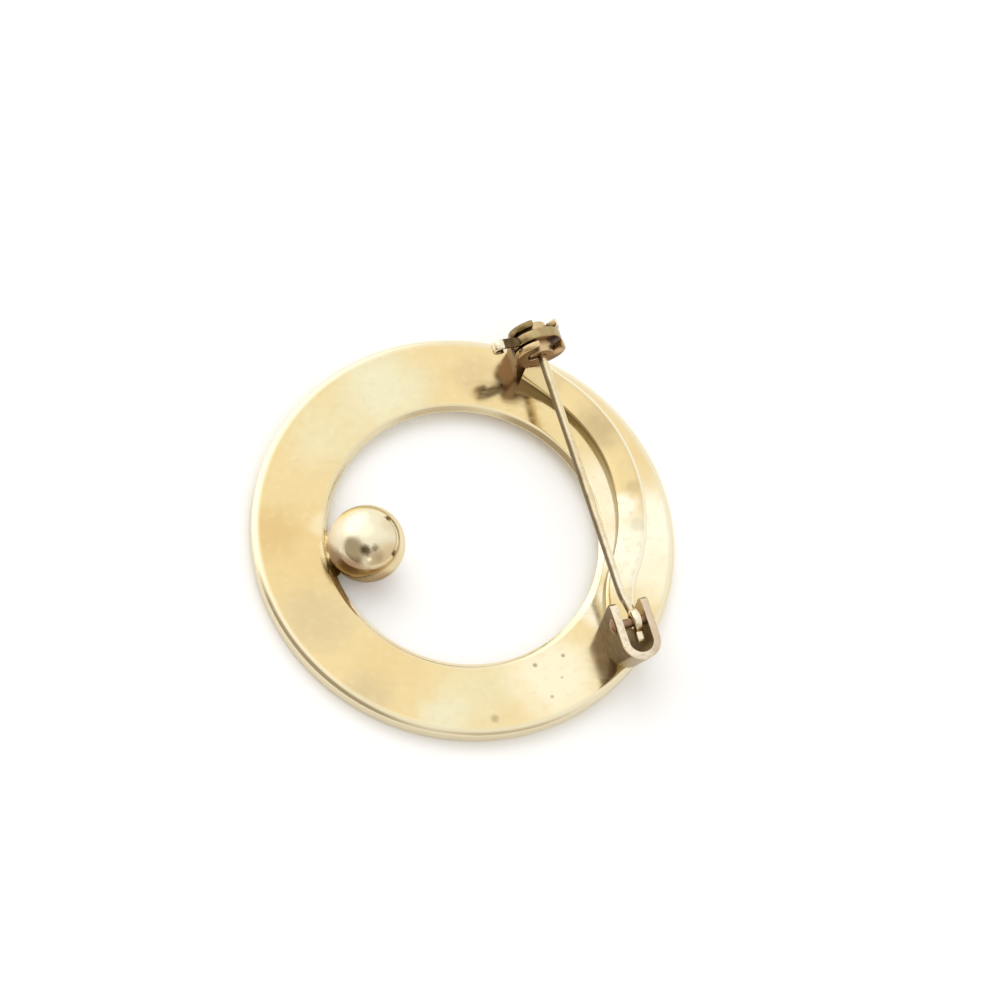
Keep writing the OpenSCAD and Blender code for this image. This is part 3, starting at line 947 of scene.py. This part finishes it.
def make_solder():
    """Solder that climbs from the ring to the ball: a dished collar, closed below."""
    across, around = 12, 64
    flat_from = HOLE_R + INNER_ROLL_W
    place = Matrix.Translation(solder_place()) @ Matrix.Rotation(BALL_TURN, 4, "Z")
    built = bmesh.new()
    rings = []
    for step in range(across + 1):
        out = step / across
        lift = SOLDER_H * (1 - out) ** SOLDER_DISHING
        loop = []
        for index in range(around):
            angle = 2 * math.pi * index / around
            corner = Vector((SOLDER_HALF_OUT * out * math.cos(angle),
                             SOLDER_HALF_SIDE * out * math.sin(angle), 0))
            # It sinks with the ring's rolled edge
            over_edge = max(0, flat_from - (place @ corner).xy.length)
            corner.z = lift - SOLDER_DROOP * over_edge
            loop.append(built.verts.new(corner))
        rings.append(loop)
    base = []
    for rim in rings[-1]:
        base.append(built.verts.new((rim.co.x * 0.97, rim.co.y * 0.97, rim.co.z - SOLDER_BASE)))
    rings.append(base)
    stitch(built, rings, closed=True)
    built.faces.new(base[::-1])
    finish_piece("ball_solder", mesh_of(built), place, SOLDER_POLISH, BODY)


def make_bar():
    """The bar's strip: an end that rises to the catch, a long curve, a bend back and a foot."""
    bend = math.radians(BAR_BEND_ANGLE)
    bend_at = BAR_AT + (BAR_R + BAR_BEND_R) * Vector((math.cos(bend), -math.sin(bend)))
    path = arc(BAR_AT, BAR_R, BAR_TOP_ANGLE, -BAR_BEND_ANGLE, 88)
    path += arc(bend_at, BAR_BEND_R, 180 - BAR_BEND_ANGLE, 180, 14)[1:]
    path.append((bend_at.x - BAR_BEND_R, RIVET.y + EAR_FRONT / 2))
    mesh = shaped(STRIP, line_mesh("bar path", path), BAR_POLISH, Width=BAR_W,
                  Thickness=BAR_H + BAR_SINK, Squareness=BAR_SQUARENESS, Section_Points=64)
    middle = RING_T + (BAR_H - BAR_SINK) / 2
    for corner in mesh.vertices:
        turn = degrees_of((corner.co.x - BAR_AT.x, corner.co.y - BAR_AT.y))
        along = min(max((turn - BAR_RISE_ANGLE) / (BAR_TOP_ANGLE - BAR_RISE_ANGLE), 0), 1)
        share = 0.5 + corner.co.z / (BAR_H + BAR_SINK)
        corner.co.z += BAR_RISE * share * along ** 1.5
    finish_piece("bar_strip", mesh, Matrix.Translation((0, 0, middle)), BAR_POLISH, BODY)


def make_bracket():
    """Strip bent to a U: two upright ears and a closed end that leans out."""
    half = JOINT_R - EAR_T / 2
    back = JOINT_R - EAR_BACK
    low = -PIN_H - SINK
    straight_to = EAR_TOP - EAR_CORNER
    heights = [low + (straight_to - low) * step / 12 for step in range(13)]
    heights += [straight_to + EAR_CORNER * math.sin(math.radians(a)) for a in range(15, 91, 15)]
    built = bmesh.new()
    rows = []
    for height in heights:
        above = max(0, height - straight_to)
        front = EAR_FRONT - EAR_CORNER + math.sqrt(max(0, EAR_CORNER ** 2 - above ** 2))
        shift = -height * math.tan(LEAN)
        bend_at = back / math.cos(LEAN) + shift
        left_ear = [(front + (bend_at - front) * step / 10, half) for step in range(10)]
        closed_end = [((back + x) / math.cos(LEAN) + shift, y)
                      for x, y in arc((0, 0), half, 90, 270, 24)]
        right_ear = [(x, -y) for x, y in reversed(left_ear)]
        rows.append([built.verts.new((x, y - BRACKET_SHIFT, height))
                     for x, y in left_ear + closed_end + right_ear])
    stitch(built, rows, closed=False)
    holder = add_object("bending", mesh_of(built))
    wall = holder.modifiers.new("wall", "SOLIDIFY")
    wall.thickness = EAR_T
    wall.offset = 0
    wall.use_even_offset = True
    rim = holder.modifiers.new("rim", "BEVEL")
    rim.width = BRACKET_RIM
    rim.segments = 4
    rim.limit_method = "ANGLE"
    rim.angle_limit = math.radians(50)
    finish_piece("bracket_strip", baked(holder), ON_PIN_LINE, BRACKET_POLISH, BODY)


def make_bracket_floor():
    """Floor between the ears, let a little into them."""
    let_in, set_back = 0.15, 0.05
    half = EAR_GAP / 2 + let_in
    front = EAR_FRONT - set_back
    back = (JOINT_R - EAR_BACK) / math.cos(LEAN) + PIN_H * math.tan(LEAN)
    outline = arc((back, 0), half, 90, 270, 24) + [(front, -half), (front, half)]
    outline = [(x, y - BRACKET_SHIFT) for x, y in outline]
    mesh = plate([outline], -PIN_H - SINK, -PIN_H + EAR_T, FLOOR_RIM)
    finish_piece("bracket_floor", mesh, ON_PIN_LINE, BRACKET_POLISH, BODY)


def crossing(inside, outside, radius):
    """Angle at which a line, from a point inside a circle to one outside, crosses the circle."""
    near, far = 0.0, 1.0
    start, end = Vector(inside), Vector(outside)
    for _ in range(40):
        middle = (near + far) / 2
        if start.lerp(end, middle).length < radius:
            near = middle
        else:
            far = middle
    return degrees_of(start.lerp(end, near))


def make_cheek(name, start, material):
    """One fixed cheek: a round plate with the hub's hole, the mouth and its part of the foot."""
    hole = HUB_R + HUB_PLAY
    top = 2 * CHEEK_R
    left_foot, left_top = (MOUTH_LEFT, 0.0), (MOUTH_LEFT, top)
    right_foot = (-MOUTH_RIGHT, 0.0)
    right_top = (-MOUTH_RIGHT - top * math.tan(MOUTH_FLARE), top)
    left_out = crossing(left_foot, left_top, CHEEK_R)
    left_in = crossing(left_foot, left_top, hole)
    right_out = crossing(right_foot, right_top, CHEEK_R)
    right_in = crossing(right_foot, right_top, hole)
    foot_right = crossing(FOOT[3], FOOT[0], CHEEK_R)
    # A cheek's leg is a little narrower than the foot between the cheeks
    thin = 0.06
    outline = arc((0, 0), CHEEK_R, right_out, 360 + foot_right, 40)
    outline += [(FOOT[0][0] + thin, FOOT[0][1]), (FOOT[1][0] - thin, FOOT[1][1])]
    outline += arc((0, 0), CHEEK_R, degrees_of(FOOT[2]), left_out, 24)
    outline += arc((0, 0), hole, left_in, right_in - 360, 48)
    mesh = plate([outline], start, start + CHEEK_T, CHEEK_RIM)
    finish_piece(name, mesh, ACROSS_PIN_LINE, material, BODY)


def make_foot():
    """The bar's end, turned up to carry both cheeks, and hollowed to clear the disc."""
    room = DISC_R + SIDE_GAP
    # The foot ends just inside the cheeks' outer faces
    short = 0.02
    right_top = crossing(FOOT[3], FOOT[0], room)
    left_top = crossing((2.2, -0.8), FOOT[1], room)
    outline = [FOOT[0], FOOT[1]]
    outline += arc((0, 0), room, left_top, right_top, 16)
    mesh = plate([outline], CATCH_NEAR + short, CATCH_FAR - short, FOOT_RIM)
    finish_piece("catch_foot", mesh, ACROSS_PIN_LINE, FOOT_POLISH, BODY)


def make_rivet():
    """The rivet: a shank between two low domes."""
    shank = JOINT_R + RIVET_STANDS_OUT
    dome_r = (RIVET_HEAD_R ** 2 + RIVET_HEAD_H ** 2) / (2 * RIVET_HEAD_H)
    spread = math.degrees(math.asin(RIVET_HEAD_R / dome_r))
    dome = arc((0, shank + RIVET_HEAD_H - dome_r), dome_r, 90 - spread, 90, 10)
    half = [(RIVET_R, 0), (RIVET_R, shank), (RIVET_HEAD_R, shank)] + dome
    section = [(x, -y) for x, y in reversed(half)] + half[1:]
    mesh = shaped(TURNED, line_mesh("rivet section", section), RIVET_POLISH, Segments=48)
    place = BESIDE_PIN_LINE @ Matrix.Translation((0, 0, BRACKET_SHIFT))
    finish_piece("rivet_domed", mesh, place, RIVET_POLISH, RIVET_PART)


# Pieces that turn on the rivet

def make_pin():
    """The pin's wire: out of the eye, round the crook, along to the taper and the point."""
    taper = CATCH_NEAR - TAPER
    tip = CATCH_FAR - TIP_INSET
    straight = (5.0, 15.0, taper, taper + 0.6, tip, tip + 0.08, tip + 0.12)
    points = CROOK + [(x, 0.0) for x in straight]
    radii = [PIN_R] * (len(points) - len(TIP_RADII)) + TIP_RADII
    mesh = shaped(WIRE, line_mesh("pin path", points, radii=radii), PIN_POLISH, Around=32)
    finish_piece("pin_wire", mesh, ON_PIN_LINE, PIN_POLISH, PIN)


def make_eye():
    """The flattened eye round the rivet, with the tail that points down behind it."""
    down = 180 + TAIL_DROP
    spread = math.degrees(math.asin(PIN_R / EYE_R))
    turn = Matrix.Rotation(math.radians(down), 2)
    outline = arc((0, 0), EYE_R, down + spread - 360, down - spread, 40)
    outline += [tuple(turn @ Vector(point)) for point in arc((TAIL_LEN, 0), PIN_R, -90, 90, 12)]
    hole = arc((0, 0), RIVET_R + EYE_PLAY, 360, 15, 23)
    mesh = plate([outline, hole], EYE_SHIFT - PIN_R, EYE_SHIFT + PIN_R, EYE_RIM)
    finish_piece("pin_eye", mesh, BESIDE_PIN_LINE, PIN_POLISH, PIN)


# Pieces of the turning catch

def slotted(radius):
    """Outline of a disc whose slot is turned away from the mouth."""
    half = SLOT_W / 2
    side = math.degrees(math.asin(half / radius))
    slot = 90 - TURN_TO_OPEN
    outline = arc((0, 0), radius, slot + side, slot + 360 - side, 64)
    return outline + arc((0, 0), half, slot - 90, slot - 270, 16)


def make_rotor():
    """The slotted disc and the hub that turns in both cheeks."""
    near = PIN_LEN - DISC_T / 2
    disc = plate([slotted(DISC_R)], near, near + DISC_T, ROTOR_RIM)
    hub = plate([slotted(HUB_R)], CATCH_NEAR - HUB_STANDS_OUT, CATCH_FAR + HUB_STANDS_OUT,
                ROTOR_RIM)
    finish_piece("rotor_disc", disc, ACROSS_PIN_LINE, DISC_POLISH, ROTOR)
    finish_piece("rotor_hub", hub, ACROSS_PIN_LINE, HUB_POLISH, ROTOR)


def make_lever():
    """The thumb lever: a strip from the disc, rolled into an open curl."""
    strip = CURL_R / 2
    middle = CURL_R - strip / 2
    root_in = 0.4
    path = [(DISC_R - root_in, middle), ((DISC_R + CURL_AT) / 2, middle)]
    path += arc((CURL_AT, 0), middle, 90, -138, 40)
    mesh = shaped(STRIP, line_mesh("lever path", path), LEVER_POLISH, Width=strip,
                  Thickness=DISC_T, Squareness=5.0, Section_Points=32)
    raised = Matrix.Rotation(LEVER_ANGLE, 4, "Z")
    place = ACROSS_PIN_LINE @ Matrix.Translation((0, 0, PIN_LEN)) @ raised
    finish_piece("rotor_lever", mesh, place, LEVER_POLISH, ROTOR)


make_ring()
make_ball()
make_solder()
make_bar()
make_bracket()
make_bracket_floor()
make_foot()
make_cheek("catch_cheek_near", CATCH_NEAR, NEAR_CHEEK_POLISH)
make_cheek("catch_cheek_far", CATCH_FAR - CHEEK_T, FAR_CHEEK_POLISH)
make_rivet()
make_pin()
make_eye()
make_rotor()
make_lever()


# Room: floor, surroundings and camera

FLOOR_HALF_W = 3.0
FLOOR_TONE = (0.94, 0.935, 0.93)


def make_floor():
    """A wide pale floor under the brooch."""
    half = FLOOR_HALF_W
    mesh = bpy.data.meshes.new("floor")
    mesh.from_pydata([(-half, -half, 0), (half, -half, 0), (half, half, 0), (-half, half, 0)], [],
                     [(0, 1, 2, 3)])
    material = bpy.data.materials.new("pale_floor")
    material.use_nodes = True
    shader = material.node_tree.nodes["Principled BSDF"]
    shader.inputs["Base Color"].default_value = colour(FLOOR_TONE)
    shader.inputs["Roughness"].default_value = 0.9
    shader.inputs["Specular IOR Level"].default_value = 0.1
    mesh.materials.append(material)
    floor = add_object("floor", mesh)


Lobe = namedtuple("Lobe", "turn height inner outer light share")
# What the metal mirrors: direction in degrees, size in degrees, and light
ROOM = [
    Lobe(95, 45, 30, 95, (1.07, 1.07, 1.07), 1.0),
    Lobe(135, 15, 28, 52, (1.7, 1.68, 1.62), 0.9),
    Lobe(120, 62, 8, 34, (1.5, 1.5, 1.48), 0.5),
    Lobe(-146, 20, 26, 50, (0.42, 0.36, 0.28), 1.0),
    Lobe(-70, 22, 8, 34, (0.50, 0.42, 0.34), 0.7),
    Lobe(-87, 21, 4, 8, (1.3, 1.25, 1.1), 0.9),
]
ROOM_LIGHT = (0.93, 0.91, 0.87)


def direction(turn, height):
    """The unit vector of a turn from +X and a height above level, in degrees."""
    turn, height = math.radians(turn), math.radians(height)
    return (math.cos(turn) * math.cos(height), math.sin(turn) * math.cos(height), math.sin(height))


def make_room():
    """Surroundings in soft patches: bright on the far side, darker on the near left."""
    world = bpy.data.worlds.new("room")
    bpy.context.scene.world = world
    world.use_nodes = True
    world.node_tree.nodes.clear()
    graph = Graph(world.node_tree)
    seat = graph.node("ShaderNodeTexCoord", {}, {})
    light = ROOM_LIGHT
    for lobe in ROOM:
        facing = graph.measure("DOT_PRODUCT", seat.outputs["Generated"],
                               direction(lobe.turn, lobe.height))
        share = graph.ramp(facing, math.cos(math.radians(lobe.outer)),
                           math.cos(math.radians(lobe.inner)), 0.0, lobe.share)
        light = graph.mixed(share, light, lobe.light)
    shine = graph.node("ShaderNodeBackground", {}, {"Color": light, "Strength": 1.0})
    graph.node("ShaderNodeOutputWorld", {}, {"Surface": shine.outputs[0]})


Lamp = namedtuple("Lamp", "name turn height away width power tint")
LAMPS = [
    Lamp("key_light", 100, 60, 0.9, 0.7, 1.2, (0.95, 0.975, 1.0)),
    Lamp("fill_light", -70, 55, 1.1, 1.0, 1.8, (0.97, 0.98, 1.0)),
]


def make_lamps():
    """Large soft lights for the floor, which the metal doesn't mirror as hard discs."""
    for lamp in LAMPS:
        light = bpy.data.lights.new(lamp.name, "AREA")
        light.shape = "DISK"
        light.size = lamp.width
        light.energy = lamp.power
        light.color = lamp.tint
        piece = add_object(lamp.name, light)
        piece.visible_glossy = False
        towards = Vector(direction(lamp.turn, lamp.height))
        piece.location = towards * lamp.away
        piece.rotation_euler = towards.to_track_quat("Z", "Y").to_euler()


# The photograph's view, 24.5 degrees off the vertical: the picture's right and top and the way
# back to the camera, then how much of the brooch's plane it takes in, and where it is aimed
VIEW_RIGHT = Vector((0.9870, -0.0315, 0.1572))
VIEW_TOP = Vector((-0.0315, 0.9227, 0.3844))
VIEW_BACK = Vector((-0.1572, -0.3844, 0.9097))
VIEW_W = 88.79 * MM
VIEW_AIM = (3.463 * VIEW_RIGHT + 3.880 * VIEW_TOP) * MM
CAMERA_AWAY = 1.5


def make_camera():
    """A long lens, far enough off to draw the brooch with hardly any perspective."""
    lens = bpy.data.cameras.new("camera")
    lens.sensor_width = 36
    lens.lens = lens.sensor_width * CAMERA_AWAY / VIEW_W
    camera = add_object("camera", lens)
    stand = VIEW_AIM + VIEW_BACK * CAMERA_AWAY
    camera.matrix_world = plane(VIEW_RIGHT, VIEW_TOP, VIEW_BACK, stand)
    bpy.context.scene.camera = camera


make_floor()
make_room()
make_lamps()
make_camera()
bpy.context.scene.view_settings.view_transform = "Standard"
